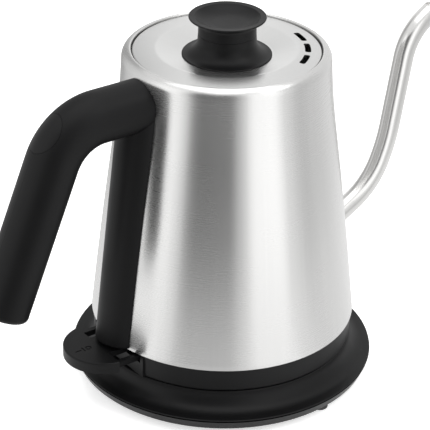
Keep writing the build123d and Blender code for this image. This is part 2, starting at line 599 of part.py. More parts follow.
# ---- spout ----------------------------------------------------------------------------
with BuildPart() as spout:
    with BuildLine(Plane.XZ) as spout_route:
        FilletPolyline(*SPOUT_ROUTE, radius=SPOUT_BENDS)
    with BuildSketch(SPOUT_ROOT):
        Circle(SPOUT_R)
        Circle(SPOUT_BORE, mode=Mode.SUBTRACT)
    sweep(path=spout_route.wires()[0])
    lean = radians(TIP_TILT)
    split(
        bisect_by=Plane(origin=(TIP_X, 0, TIP_Z), x_dir=(0, 1, 0), z_dir=(sin(lean), 0, cos(lean))),
        keep=Keep.BOTTOM,
    )
save(spout.part, "spout")

# ---- lid ------------------------------------------------------------------------------
with BuildPart() as lid_gasket:
    with BuildSketch(Plane.XY.offset(LEDGE_Z + SEAT_GAP)):
        Circle(GASKET_OUT_R)
        Circle(GASKET_IN_R, mode=Mode.SUBTRACT)
    extrude(amount=GASKET_T)
    fillet(lid_gasket.edges(), 0.4)
save(lid_gasket.part, "lid_gasket")

PAN_FLANGE_Z = LEDGE_Z + GASKET_T + 2 * SEAT_GAP
with BuildPart() as lid_pan:
    with BuildSketch(Plane.XZ):
        with BuildLine():
            Polyline(
                (0, PAN_Z),
                (PAN_R, PAN_Z),
                (PAN_R, PAN_FLANGE_Z),
                (PAN_FLANGE_R, PAN_FLANGE_Z),
                (PAN_FLANGE_R, PAN_FLANGE_Z + WALL),
                (PAN_R - WALL, PAN_FLANGE_Z + WALL),
                (PAN_R - WALL, PAN_Z + WALL),
                (0, PAN_Z + WALL),
                close=True,
            )
        make_face()
    revolve(axis=Axis.Z)
    for bearing in VENT_ANGLES:
        x, y = on_circle(VENT_R - 3, bearing)
        upright_cylinder(x, y, 1.8, PAN_Z - 1, PAN_Z + 2, Mode.SUBTRACT)
save(lid_pan.part, "lid_pan")


def lid_face(drop, rim_r):
    """The lid's upper face from its axis to its rim, lowered by drop."""
    FilletPolyline(
        (0, LID_DISH_Z - drop),
        (LID_DISH_R, LID_DISH_Z - drop),
        (LID_CREST_R, LID_CREST_Z - drop),
        (rim_r, LID_EDGE_Z - drop),
        (rim_r, LID_RIM_Z),
        radius=[6.0, 7.0, 0.7],
    )


with BuildPart() as lid_top:
    with BuildSketch(Plane.XZ):
        with BuildLine():
            lid_face(0, LID_R)
            Line((LID_R, LID_RIM_Z), (LID_R - WALL, LID_RIM_Z))
            lid_face(WALL, LID_R - WALL)
            Line((0, LID_DISH_Z), (0, LID_DISH_Z - WALL))
        make_face()
    revolve(axis=Axis.Z)
    for bearing in VENT_ANGLES:
        with BuildSketch(Plane.XY.offset(MOUTH_Z + 1)) as vent:
            with BuildLine():
                outer = CenterArc((0, 0), VENT_R + VENT_W / 2, bearing - VENT_ARC / 2, VENT_ARC)
                inner = CenterArc((0, 0), VENT_R - VENT_W / 2, bearing - VENT_ARC / 2, VENT_ARC)
                Line(outer @ 0, inner @ 0)
                Line(outer @ 1, inner @ 1)
            make_face()
            fillet(vent.vertices(), VENT_ROUND)
        extrude(amount=-5, mode=Mode.SUBTRACT)
    upright_cylinder(0, 0, KNOB_SCREW_R + 0.2, LID_DISH_Z - 2, LID_DISH_Z + 1, Mode.SUBTRACT)
save(lid_top.part, "lid_top")

with BuildPart() as knob_base:
    with BuildSketch(Plane.XZ):
        with BuildLine():
            brim = Polyline(
                (0, KNOB_FOOT_Z),
                (KNOB_FOOT_R - 0.2, KNOB_FOOT_Z),
                (KNOB_FOOT_R, KNOB_FOOT_Z + 0.3),
                (KNOB_FOOT_R - 0.4, KNOB_FOOT_Z + 0.5),
            )
            flare_way = (KNOB_FLARE_R - KNOB_WAIST_R, KNOB_FLARE_Z - KNOB_WAIST_Z)
            TangentArc((KNOB_FLARE_R, KNOB_FLARE_Z), brim @ 1, tangent=flare_way)
            Polyline(
                (KNOB_FLARE_R, KNOB_FLARE_Z),
                (KNOB_WAIST_R, KNOB_WAIST_Z),
                (SPIGOT_R, KNOB_WAIST_Z),
                (SPIGOT_R, SPIGOT_Z),
                (0, SPIGOT_Z),
                (0, KNOB_FOOT_Z),
            )
        make_face()
    revolve(axis=Axis.Z)
    with BuildSketch(Plane.XZ):
        with BuildLine():
            Polyline(
                (6, KNOB_FOOT_Z),
                (17.5, KNOB_FOOT_Z),
                (11.5, KNOB_FOOT_Z + 5.5),
                (6, KNOB_FOOT_Z + 5.5),
                close=True,
            )
        make_face()
    revolve(axis=Axis.Z, mode=Mode.SUBTRACT)
    upright_cylinder(0, 0, KNOB_SCREW_R + 0.02, KNOB_FOOT_Z - 1, SPIGOT_Z - 1.5, Mode.SUBTRACT)
save(knob_base.part, "knob_base")

with BuildPart() as knob_cap:
    with BuildSketch(Plane.XZ):
        with BuildLine():
            Line((SPIGOT_R + FIT, KNOB_WAIST_Z + FIT), (KNOB_WAIST_R, KNOB_WAIST_Z + FIT))
            waist = Line((KNOB_WAIST_R, KNOB_WAIST_Z + FIT), (KNOB_WAIST_R - 0.1, KNOB_WAIST_Z + 4.5))
            flare = TangentArc(waist @ 1, (KNOB_RIM_R - 0.5, KNOB_TOP_Z - KNOB_RIM_T), tangent=waist % 1)
            ThreePointArc(
                flare @ 1, (KNOB_RIM_R, KNOB_TOP_Z - 0.45), (KNOB_RIM_R - 0.5, KNOB_TOP_Z - 0.05)
            )
            Line((KNOB_RIM_R - 0.5, KNOB_TOP_Z - 0.05), (KNOB_BAND_R, KNOB_TOP_Z - 0.3))
            TangentArc(
                (KNOB_DISH_FLAT_R, KNOB_DISH_Z), (KNOB_BAND_R, KNOB_TOP_Z - 0.3), tangent=(1, 0)
            )
            Polyline(
                (KNOB_DISH_FLAT_R, KNOB_DISH_Z),
                (0, KNOB_DISH_Z),
                (0, SPIGOT_Z + FIT),
                (SPIGOT_R + FIT, SPIGOT_Z + FIT),
                (SPIGOT_R + FIT, KNOB_WAIST_Z + FIT),
            )
        make_face()
    revolve(axis=Axis.Z)
save(knob_cap.part, "knob_cap")

WASHER_T = 0.8
WASHER_TOP_Z = LID_DISH_Z - WALL - SEAT_GAP
with BuildPart() as knob_washer:
    with BuildSketch(Plane.XY.offset(WASHER_TOP_Z - WASHER_T)):
        Circle(6.0)
        Circle(KNOB_SCREW_R + 0.2, mode=Mode.SUBTRACT)
    extrude(amount=WASHER_T)
save(knob_washer.part, "knob_washer")

with BuildPart() as knob_screw:
    upright_cylinder(0, 0, 3.6, WASHER_TOP_Z - WASHER_T - 2.4, WASHER_TOP_Z - WASHER_T - SEAT_GAP)
    upright_cylinder(0, 0, KNOB_SCREW_R, WASHER_TOP_Z - WASHER_T - 1, SPIGOT_Z - 2.5)
    with BuildSketch(Plane.XY.offset(WASHER_TOP_Z - WASHER_T - 2.4)):
        Rectangle(0.9, 5)
        Rectangle(5, 0.9)
    extrude(amount=1.2, mode=Mode.SUBTRACT)
save(knob_screw.part, "knob_screw")

# ---- power base -----------------------------------------------------------------------
HOOD_PLANE = facing_out(CORD_ANGLE, 0, GLAND_Z)


def gland_cutter(radius):
    """Round channel for the cord gland, in the open part."""
    with BuildSketch(HOOD_PLANE.offset(GLAND_IN - 1)) as channel:
        Circle(radius)
    extrude(channel.sketch, amount=GLAND_OUT - GLAND_IN + 6, mode=Mode.SUBTRACT)


with BuildPart() as base_top:
    with BuildSketch(Plane.XZ):
        with BuildLine():
            Polyline(
                (CONNECTOR_R + 0.4, WELL_Z - BASE_SHELL),
                (CONNECTOR_R + 0.4, WELL_Z),
                (REST_R, WELL_Z),
                (REST_R, SKIRT_Z - SEAT_GAP),
                (REST_R + REST_W, SKIRT_Z - SEAT_GAP),
                (REST_R + REST_W, WELL_Z),
                (WELL_R, WELL_Z),
                (WELL_R + 0.6, LIP_Z - 0.4),
                (WELL_R + 1.0, LIP_Z),
                (LIP_R - 0.4, LIP_Z),
                (LIP_R, LIP_Z - 0.4),
            )
            flare = TangentArc((RIM_FLAT_R, RIM_Z + 0.1), (LIP_R, LIP_Z - 0.4), tangent=(-1, 0))
            Polyline(
                (RIM_FLAT_R, RIM_Z + 0.1),
                (RIM_R - 0.3, RIM_Z),
                (RIM_R, RIM_Z - 0.2),
                (RIM_R, RIM_LOW_Z),
                (TONGUE_R, RIM_LOW_Z),
                (TONGUE_R, TONGUE_Z),
                (TONGUE_R - TONGUE_T, TONGUE_Z),
                (TONGUE_R - TONGUE_T, RIM_Z - BASE_SHELL),
                (72.0, RIM_Z - 0.6),
                (68.0, WELL_Z - BASE_SHELL),
                (CONNECTOR_R + 0.4, WELL_Z - BASE_SHELL),
            )
        make_face()
    revolve(axis=Axis.Z)
    with BuildSketch(HOOD_PLANE.offset(GLAND_IN)):
        Circle(HOOD_R)
        with Locations((0, SEAM_Z + FIT - GLAND_Z - HOOD_R)):
            Rectangle(3 * HOOD_R, 2 * HOOD_R, mode=Mode.SUBTRACT)
    extrude(amount=GLAND_OUT - GLAND_IN - 2.5)
    gland_cutter(GLAND_R + FIT)
    for bearing in BASE_SCREW_ANGLES:
        x, y = on_circle(BASE_SCREW_CIRCLE, bearing)
        upright_cylinder(x, y, 3.4, BASE_Z + BASE_SHELL + SEAT_GAP, WELL_Z - BASE_SHELL / 2)
        upright_cylinder(x, y, 1.27, BASE_Z, WELL_Z - BASE_SHELL, Mode.SUBTRACT)
    for side in (-1, 1):
        upright_cylinder(0, side * EAR_SCREW, 1.27, EAR_Z, WELL_Z - 0.5, Mode.SUBTRACT)
save(base_top.part, "base_top")

with BuildPart() as base_bottom:
    with BuildSketch(Plane.XZ):
        with BuildLine():
            Polyline(
                (0, BASE_Z),
                (BASE_R - 0.6, BASE_Z),
                (BASE_R, BASE_Z + 0.6),
                (SEAM_R, SEAM_Z),
                (TONGUE_R + FIT, SEAM_Z),
                (TONGUE_R + FIT, TONGUE_Z - 0.4),
                (BASE_R - BASE_SHELL, BASE_Z + BASE_SHELL),
                (0, BASE_Z + BASE_SHELL),
                close=True,
            )
        make_face()
    revolve(axis=Axis.Z)
    for bearing in (FOOT_ANGLE, FOOT_ANGLE + 120, FOOT_ANGLE + 240):
        x, y = on_circle(FOOT_CIRCLE, bearing)
        upright_cylinder(x, y, FOOT_R + FIT, BASE_Z - 1, BASE_Z + FOOT_STUB, Mode.SUBTRACT)
    for bearing in BASE_SCREW_ANGLES:
        x, y = on_circle(BASE_SCREW_CIRCLE, bearing)
        upright_cylinder(x, y, 1.7, BASE_Z - 1, BASE_Z + 4, Mode.SUBTRACT)
        upright_cylinder(x, y, 2.9, BASE_Z - 1, BASE_Z + 1.2, Mode.SUBTRACT)
    for side in (-1, 1):
        with BuildSketch(Plane.XY.offset(BASE_Z + BASE_SHELL / 2)):
            spot = facing_out(CORD_ANGLE, CLAMP_CIRCLE, 0).from_local_coords((side * CLAMP_Y, 0, 0))
            with Locations((spot.X, spot.Y)):
                Circle(2.8)
        extrude(amount=CLAMP_Z - SEAT_GAP - BASE_Z - BASE_SHELL / 2)
        upright_cylinder(spot.X, spot.Y, 1.07, BASE_Z + 2.4, CLAMP_Z + 1, Mode.SUBTRACT)
    gland_cutter(GLAND_R + FIT)
save(base_bottom.part, "base_bottom")

with BuildPart() as base_feet:
    for bearing in (FOOT_ANGLE, FOOT_ANGLE + 120, FOOT_ANGLE + 240):
        x, y = on_circle(FOOT_CIRCLE, bearing)
        upright_cylinder(x, y, FOOT_R, 0, BASE_Z + FOOT_STUB - SEAT_GAP)
    fillet(base_feet.edges().group_by(Axis.Z)[0], 0.6)
save(base_feet.part, "base_feet")

with BuildPart() as base_screws:
    for bearing in BASE_SCREW_ANGLES:
        x, y = on_circle(BASE_SCREW_CIRCLE, bearing)
        upright_cylinder(x, y, 2.6, BASE_Z, BASE_Z + 1.15)
        upright_cylinder(x, y, 1.25, BASE_Z + 1, BASE_Z + 8.6)
        upright_cylinder(x, y, 0.8, BASE_Z - 1, BASE_Z + 0.7, Mode.SUBTRACT)
save(base_screws.part, "base_screws")

with BuildPart() as base_connector:
    upright_cylinder(0, 0, CONNECTOR_R, CONNECTOR_Z, CONNECTOR_TOP_Z)
    upright_cylinder(0, 0, EAR_R, EAR_Z, EAR_Z + EAR_T)
    upright_cylinder(0, 0, TOWER_R, CONNECTOR_TOP_Z - 1, TOWER_Z)
    chamfer(base_connector.edges().group_by(Axis.Z)[-1], 0.8)
    upright_cylinder(0, 0, PIN_HOLE_R, PIN_HOLE_Z, TOWER_Z + 1, Mode.SUBTRACT)
    with BuildSketch(Plane.XY.offset(RING_Z)):
        Circle(RING_OUT_R)
        Circle(RING_IN_R, mode=Mode.SUBTRACT)
    extrude(amount=TOWER_Z, mode=Mode.SUBTRACT)
    for side in (-1, 1):
        upright_cylinder(0, side * EAR_SCREW, 1.5, EAR_Z - 1, EAR_Z + EAR_T + 1, Mode.SUBTRACT)
save(base_connector.part, "base_connector")

with BuildPart() as base_contacts:
    with BuildSketch(Plane.XY.offset(PIN_HOLE_Z + 0.5)):
        Circle(PIN_HOLE_R - 0.05)
        Circle(PIN_HOLE_R - 0.4, mode=Mode.SUBTRACT)
        with Locations((5, 0)):
            Rectangle(10, 1.2, mode=Mode.SUBTRACT)
    extrude(amount=10)
    for inner, outer, side in (
        (RING_IN_R + 0.05, RING_IN_R + 0.4, 1),
        (RING_OUT_R - 0.4, RING_OUT_R - 0.05, -1),
    ):
        with BuildSketch(Plane.XY.offset(RING_Z + 0.2)):
            Circle(outer)
            Circle(inner, mode=Mode.SUBTRACT)
            with Locations((-side * 10 + side * 1.0, 0)):
                Rectangle(20, 20, mode=Mode.SUBTRACT)
        extrude(amount=9)
save(base_contacts.part, "base_contacts")

with BuildPart() as connector_screws:
    for side in (-1, 1):
        upright_cylinder(0, side * EAR_SCREW, 2.4, EAR_Z - 1.5, EAR_Z - SEAT_GAP)
        upright_cylinder(0, side * EAR_SCREW, 1.25, EAR_Z - 1, WELL_Z - 0.8)
        upright_cylinder(0, side * EAR_SCREW, 0.7, EAR_Z - 2, EAR_Z - 0.8, Mode.SUBTRACT)
save(connector_screws.part, "connector_screws")

with BuildPart() as cord_gland:
    with BuildSketch(HOOD_PLANE.offset(GLAND_IN)):
        Circle(GLAND_R)
    with BuildSketch(HOOD_PLANE.offset(GLAND_OUT)):
        Circle(GLAND_R - 0.3)
    loft()
    with BuildSketch(HOOD_PLANE.offset(GLAND_IN - 1)):
        Circle(CORD_R)
    extrude(amount=GLAND_OUT - GLAND_IN + 2, mode=Mode.SUBTRACT)
save(cord_gland.part, "cord_gland")

clamp_plane = Plane(
    origin=(*on_circle(CLAMP_CIRCLE, CORD_ANGLE), CLAMP_Z), x_dir=HOOD_PLANE.x_dir, z_dir=(0, 0, 1)
)
with BuildPart() as cord_clamp:
    with BuildSketch(clamp_plane):
        Rectangle(2 * CLAMP_Y + 6, 6.5)
        with Locations((-CLAMP_Y, 0), (CLAMP_Y, 0)):
            Circle(1.3, mode=Mode.SUBTRACT)
    extrude(amount=CLAMP_T)
save(cord_clamp.part, "cord_clamp")

with BuildPart() as clamp_screws:
    with BuildSketch(clamp_plane.offset(CLAMP_T + SEAT_GAP)):
        with Locations((-CLAMP_Y, 0), (CLAMP_Y, 0)):
            Circle(2.1)
    extrude(amount=0.7)
    with BuildSketch(clamp_plane.offset(-4.5)):
        with Locations((-CLAMP_Y, 0), (CLAMP_Y, 0)):
            Circle(1.05)
    extrude(amount=4.5 + CLAMP_T + 0.4)
    with BuildSketch(clamp_plane.offset(CLAMP_T + 0.45)):
        with Locations((-CLAMP_Y, 0), (CLAMP_Y, 0)):
            Rectangle(2.4, 0.6)
    extrude(amount=3, mode=Mode.SUBTRACT)
save(clamp_screws.part, "clamp_screws")
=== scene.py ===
"""Looks for the gooseneck kettle: finer pieces, materials, light and camera round the frame."""

import json
from math import atan2, cos, pi, radians, sin

import bmesh
import bpy
from mathutils import Matrix, Vector


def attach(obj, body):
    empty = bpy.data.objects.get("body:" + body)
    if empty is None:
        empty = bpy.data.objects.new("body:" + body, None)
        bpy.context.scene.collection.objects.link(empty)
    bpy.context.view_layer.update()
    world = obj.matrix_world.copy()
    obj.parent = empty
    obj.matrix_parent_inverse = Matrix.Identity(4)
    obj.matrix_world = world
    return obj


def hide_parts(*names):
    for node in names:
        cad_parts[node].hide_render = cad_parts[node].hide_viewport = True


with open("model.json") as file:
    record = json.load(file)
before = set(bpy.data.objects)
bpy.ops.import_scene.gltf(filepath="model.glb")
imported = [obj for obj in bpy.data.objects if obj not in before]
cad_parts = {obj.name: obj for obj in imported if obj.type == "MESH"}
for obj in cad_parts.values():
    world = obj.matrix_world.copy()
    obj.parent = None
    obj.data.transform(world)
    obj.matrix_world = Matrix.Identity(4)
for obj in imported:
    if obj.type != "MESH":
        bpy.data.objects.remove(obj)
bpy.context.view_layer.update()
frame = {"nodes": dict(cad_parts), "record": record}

MM = 0.001
TAU = 2 * pi


# ---- node material helpers ------------------------------------------------------------
def new_material(name):
    """Material with a Principled shader. Returns (material, nodes, links, shader)."""
    mat = bpy.data.materials.new(name)
    mat.use_nodes = True
    tree = mat.node_tree
    return mat, tree.nodes, tree.links, tree.nodes["Principled BSDF"]


def noise(nodes, links, vector, scale, detail=2.0, rough=0.5):
    """Noise texture on a vector. Returns its factor."""
    n = nodes.new("ShaderNodeTexNoise")
    n.inputs["Scale"].default_value = scale
    n.inputs["Detail"].default_value = detail
    n.inputs["Roughness"].default_value = rough
    links.new(vector, n.inputs["Vector"])
    return n.outputs["Fac"]


def stretched(nodes, links, vector, scale):
    """Vector multiplied by a scale per axis."""
    m = nodes.new("ShaderNodeMapping")
    m.inputs["Scale"].default_value = scale
    links.new(vector, m.inputs["Vector"])
    return m.outputs["Vector"]


def span(nodes, links, value, low, high, to_low, to_high):
    """Value mapped from one range to another."""
    m = nodes.new("ShaderNodeMapRange")
    m.inputs["From Min"].default_value = low
    m.inputs["From Max"].default_value = high
    m.inputs["To Min"].default_value = to_low
    m.inputs["To Max"].default_value = to_high
    links.new(value, m.inputs["Value"])
    return m.outputs["Result"]


def feed(links, socket, value):
    """Sets a socket to a number, or links another socket to it."""
    if isinstance(value, (int, float)):
        socket.default_value = value
    else:
        links.new(value, socket)


def math_node(nodes, links, operation, a, b=None):
    """Math node on sockets or numbers."""
    m = nodes.new("ShaderNodeMath")
    m.operation = operation
    for socket, value in zip(m.inputs, (a, b)):
        if value is not None:
            feed(links, socket, value)
    return m.outputs["Value"]


def object_coordinates(nodes):
    """The row frame's coordinates, since every object sits at the origin."""
    return nodes.new("ShaderNodeTexCoord").outputs["Object"]


def radius_and_angle(nodes, links, vector):
    """Distance from the kettle's axis, bearing about it, and height."""
    s = nodes.new("ShaderNodeSeparateXYZ")
    links.new(vector, s.inputs["Vector"])
    x, y, z = s.outputs["X"], s.outputs["Y"], s.outputs["Z"]
    xx = math_node(nodes, links, "MULTIPLY", x, x)
    yy = math_node(nodes, links, "MULTIPLY", y, y)
    r = math_node(nodes, links, "SQRT", math_node(nodes, links, "ADD", xx, yy))
    return r, math_node(nodes, links, "ARCTAN2", y, x), z


def combined(nodes, links, x, y, z):
    """Vector from three values."""
    c = nodes.new("ShaderNodeCombineXYZ")
    for socket, value in zip(c.inputs, (x, y, z)):
        feed(links, socket, value)
    return c.outputs["Vector"]


def blended(nodes, links, share, low, high):
    """Colour between two RGB colours, by share."""
    mix = nodes.new("ShaderNodeMix")
    mix.data_type = "RGBA"
    mix.inputs[6].default_value = (*low, 1)
    mix.inputs[7].default_value = (*high, 1)
    links.new(share, mix.inputs[0])
    return mix.outputs[2]


def bump(nodes, links, height, distance, strength, shader):
    """Bump on a shader's normal."""
    b = nodes.new("ShaderNodeBump")
    b.inputs["Distance"].default_value = distance
    b.inputs["Strength"].default_value = strength
    links.new(height, b.inputs["Height"])
    links.new(b.outputs["Normal"], shader.inputs["Normal"])


# brushing lines: noise cells per radian of bearing, and per metre across the lines
SIDE_LINES, DISC_LINES = (0.9, 3200.0), (1.2, 3000.0)
BAR_CELLS, PATCH_CELLS = 900.0, 30.0  # cells per metre
STREAK_CELLS = (38.0, 9.0)  # upright streaks: cells per radian, and per metre of height
STREAK_DARK, STREAK_LIGHT = 0.965, 1.025


def brushed_metal(name, colour, rough, grain, aniso, kind):
    """Brushed steel. kind is side (a turned wall), disc (a turned face) or bar (even all round)."""
    mat, nodes, links, shader = new_material(name)
    at = object_coordinates(nodes)
    r, bearing, z = radius_and_angle(nodes, links, at)

    def times(value, factor):
        return math_node(nodes, links, "MULTIPLY", value, factor)

    if kind == "side":
        lines = combined(nodes, links, times(bearing, SIDE_LINES[0]), 0.0, times(z, SIDE_LINES[1]))
    elif kind == "disc":
        lines = combined(nodes, links, times(bearing, DISC_LINES[0]), times(r, DISC_LINES[1]), 0.0)
    else:
        lines = stretched(nodes, links, at, (BAR_CELLS,) * 3)
    fine = noise(nodes, links, lines, 1.0, 3.0, 0.6)
    patchy = noise(nodes, links, stretched(nodes, links, at, (PATCH_CELLS,) * 3), 1.0, 2.0)
    streak_at = combined(
        nodes, links, times(bearing, STREAK_CELLS[0]), times(z, STREAK_CELLS[1]), 0.0
    )
    streaks = noise(nodes, links, streak_at, 1.0, 3.0)
    dark, light = [[c * level for c in colour] for level in (STREAK_DARK, STREAK_LIGHT)]
    links.new(blended(nodes, links, streaks, dark, light), shader.inputs["Base Color"])
    shader.inputs["Metallic"].default_value = 1.0
    ro = span(nodes, links, fine, 0.3, 0.7, rough * 0.97, rough * 1.03)
    ro = math_node(nodes, links, "ADD", ro, span(nodes, links, patchy, 0.3, 0.7, -0.01, 0.01))
    links.new(ro, shader.inputs["Roughness"])
    shader.inputs["Anisotropic"].default_value = aniso
    if kind != "bar":
        tangent = nodes.new("ShaderNodeTangent")
        tangent.direction_type = "RADIAL"
        tangent.axis = "Z"
        links.new(tangent.outputs["Tangent"], shader.inputs["Tangent"])
        shader.inputs["Anisotropic Rotation"].default_value = 0.25
    bump(nodes, links, fine, grain * MM, 0.5, shader)
    return mat


def plastic(name, colour, rough, grain, coarse=1500.0, gloss=0.5):
    """Moulded plastic or rubber with a fine grain."""
    mat, nodes, links, shader = new_material(name)
    at = object_coordinates(nodes)
    fine = noise(nodes, links, at, coarse, 3.0, 0.6)
    soft = noise(nodes, links, at, 60.0, 2.0)
    shader.inputs["Base Color"].default_value = (*colour, 1)
    ro = span(nodes, links, soft, 0.3, 0.7, rough - 0.03, rough + 0.03)
    links.new(ro, shader.inputs["Roughness"])
    bump(nodes, links, fine, grain * MM, 0.6, shader)
    shader.inputs["Specular IOR Level"].default_value = gloss
    return mat


def plain_metal(name, colour, rough):
    """Metal without a brushing direction, slightly uneven."""
    mat, nodes, links, shader = new_material(name)
    at = object_coordinates(nodes)
    uneven = noise(nodes, links, at, 300.0, 2.0)
    shader.inputs["Base Color"].default_value = (*colour, 1)
    shader.inputs["Metallic"].default_value = 1.0
    ro = span(nodes, links, uneven, 0.3, 0.7, rough - 0.04, rough + 0.04)
    links.new(ro, shader.inputs["Roughness"])
    return mat


STEEL_SIDE = brushed_metal("steel_side", (0.66, 0.658, 0.652), 0.27, 0.0004, 0.75, "side")
STEEL_DISC = brushed_metal("steel_disc", (0.67, 0.67, 0.665), 0.24, 0.003, 0.6, "disc")
STEEL_TUBE = brushed_metal("steel_tube", (0.7, 0.695, 0.685), 0.2, 0.002, 0.0, "bar")
STEEL_PLAIN = plain_metal("steel_plain", (0.55, 0.55, 0.55), 0.35)
ALUMINIUM = plain_metal("aluminium_cast", (0.6, 0.6, 0.61), 0.5)
BRASS = plain_metal("brass_plain", (0.72, 0.52, 0.24), 0.3)
ZINC = plain_metal("zinc_plated", (0.6, 0.61, 0.63), 0.3)
BLACK_COLOUR = (0.0045, 0.0045, 0.0048)
BLACK = plastic("black_plastic_look", BLACK_COLOUR, 0.42, 0.02, gloss=0.18)
BLACK_GRIP = plastic("black_grip_look", BLACK_COLOUR, 0.45, 0.03, 1100.0, 0.15)
CONTROL = plastic("control_plastic_look", (0.03, 0.03, 0.032), 0.5, 0.01)
RUBBER = plastic("foot_rubber_look", (0.01, 0.01, 0.01), 0.6, 0.02)
SILICONE = plastic("silicone_look", (0.5, 0.5, 0.48), 0.45, 0.01)

LOOK = {
    "brushed_steel": STEEL_SIDE, "polished_steel": STEEL_TUBE, "plain_steel": STEEL_PLAIN,
    "heater_aluminium": ALUMINIUM, "black_plastic": BLACK, "control_plastic": CONTROL,
    "contact_brass": BRASS, "silicone": SILICONE, "foot_rubber": RUBBER, "zinc_screw": ZINC,
}
CAD_SHARP, MESH_SHARP = radians(30), radians(32)  # edges sharper than this stay crisp

slots = {s["node"]: s["material_slot"] for s in frame["record"]["subparts"]}
for node, obj in frame["nodes"].items():
    obj.data.materials.clear()
    obj.data.materials.append(LOOK[slots[node]])
    obj.data.shade_smooth()
    obj.data.set_sharp_from_angle(angle=CAD_SHARP)
for node in ("lid_top", "lid_pan"):
    frame["nodes"][node].data.materials[0] = STEEL_DISC
for node in ("grip_left", "grip_right", "spine"):
    frame["nodes"][node].data.materials[0] = BLACK_GRIP


# ---- mesh helpers ---------------------------------------------------------------------
def soft_path(points, steps=5):
    """Path through (a, b) points. A third number rounds that corner with that radius."""
    path = []
    for i, p in enumerate(points):
        here = Vector(p[:2])
        if len(p) == 2 or i in (0, len(points) - 1):
            path.append(here)
            continue
        back, on = Vector(points[i - 1][:2]) - here, Vector(points[i + 1][:2]) - here
        turn = back.angle(on)
        slope = max(sin(turn / 2) / cos(turn / 2), 0.05)
        reach = min(p[2] / slope, back.length / 2, on.length / 2)
        start, end = here + back.normalized() * reach, here + on.normalized() * reach
        for k in range(steps + 1):
            t = k / steps
            path.append(start * (1 - t) ** 2 + here * 2 * t * (1 - t) + end * t * t)
    return path


def circle_arc(start, middle, end, steps):
    """Arc through three points. Returns its points and its direction at the end."""
    a, b, c = Vector(start), Vector(middle), Vector(end)
    d = 2 * (a.x * (b.y - c.y) + b.x * (c.y - a.y) + c.x * (a.y - b.y))
    aa, bb, cc = a.length_squared, b.length_squared, c.length_squared
    centre = Vector(
        (
            (aa * (b.y - c.y) + bb * (c.y - a.y) + cc * (a.y - b.y)) / d,
            (aa * (c.x - b.x) + bb * (a.x - c.x) + cc * (b.x - a.x)) / d,
        )
    )
    first = atan2(a.y - centre.y, a.x - centre.x)
    total = atan2(c.y - centre.y, c.x - centre.x) - first
    mid = atan2(b.y - centre.y, b.x - centre.x) - first
    total, mid = total % TAU, mid % TAU
    if mid > total:
        total -= TAU
    radius = (a - centre).length
    angles = [first + total * k / steps for k in range(steps + 1)]
    points = [centre + Vector((cos(g), sin(g))) * radius for g in angles]
    sign = 1 if total > 0 else -1
    return points, Vector((-sin(angles[-1]), cos(angles[-1]))) * sign


def tangent_arc(start, direction, end, steps):
    """Arc that leaves start along direction and reaches end."""
    a, b = Vector(start), Vector(end)
    t = Vector(direction).normalized()
    chord = b - a
    normal = Vector((-t.y, t.x))
    height = 2 * chord.dot(normal)
    if abs(height) < 1e-6:
        return [a.lerp(b, k / steps) for k in range(steps + 1)], t
    radius = chord.length_squared / height
    centre = a + normal * radius
    first = atan2(a.y - centre.y, a.x - centre.x)
    total = (atan2(b.y - centre.y, b.x - centre.x) - first) % TAU
    if radius < 0:
        total -= TAU
    angles = [first + total * k / steps for k in range(steps + 1)]
    sign = 1 if radius > 0 else -1
    points = [centre + Vector((cos(g), sin(g))) * abs(radius) for g in angles]
    return points, Vector((-sin(angles[-1]), cos(angles[-1]))) * sign


def made(name, verts, faces, look, body, node, slot):
    """Mesh piece from points in millimetres that rides on a body and stands for a CAD node."""
    mesh = bpy.data.meshes.new(name)
    mesh.from_pydata([Vector(v) * MM for v in verts], [], faces)
    mesh.validate()
    bm = bmesh.new()
    bm.from_mesh(mesh)
    bmesh.ops.remove_doubles(bm, verts=bm.verts, dist=1e-7)
    bmesh.ops.recalc_face_normals(bm, faces=bm.faces)
    bm.to_mesh(mesh)
    bm.free()
    mesh.materials.append(look)
    mesh.shade_smooth()
    mesh.set_sharp_from_angle(angle=MESH_SHARP)
    obj = bpy.data.objects.new(name, mesh)
    bpy.context.scene.collection.objects.link(obj)
    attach(obj, body)
    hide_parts(node)
    return obj


def lathe_mesh(path, steps=256, closed=True):
    """Points and faces of a profile of (radius, height) turned about the kettle's axis."""
    verts, faces, rows = [], [], []
    for r, z in path:
        if r < 1e-4:
            rows.append([len(verts)] * steps)
            verts.append((0, 0, z))
        else:
            rows.append(list(range(len(verts), len(verts) + steps)))
            verts += [(r * cos(TAU * k / steps), r * sin(TAU * k / steps), z) for k in range(steps)]
    pairs = list(zip(rows, rows[1:]))
    if closed:
        pairs.append((rows[-1], rows[0]))
    for a, b in pairs:
        for k in range(steps):
            n = (k + 1) % steps
            face = []
            for v in (a[k], a[n], b[n], b[k]):
                if v not in face:
                    face.append(v)
            if len(face) > 2:
                faces.append(face)
    return verts, faces


def prism(outline, place, along_x, along_y, depth_low, depth_high):
    """Points and faces of a flat outline pushed through along the plane's normal."""
    ax, ay = Vector(along_x), Vector(along_y)
    n = ax.cross(ay)
    base = Vector(place)
    count = len(outline)
    verts = [base + ax * u + ay * v + n * depth_low for u, v in outline]
    verts += [base + ax * u + ay * v + n * depth_high for u, v in outline]
    faces = [list(range(count))[::-1], list(range(count, 2 * count))]
    faces += [[k, (k + 1) % count, (k + 1) % count + count, k + count] for k in range(count)]
    return verts, faces


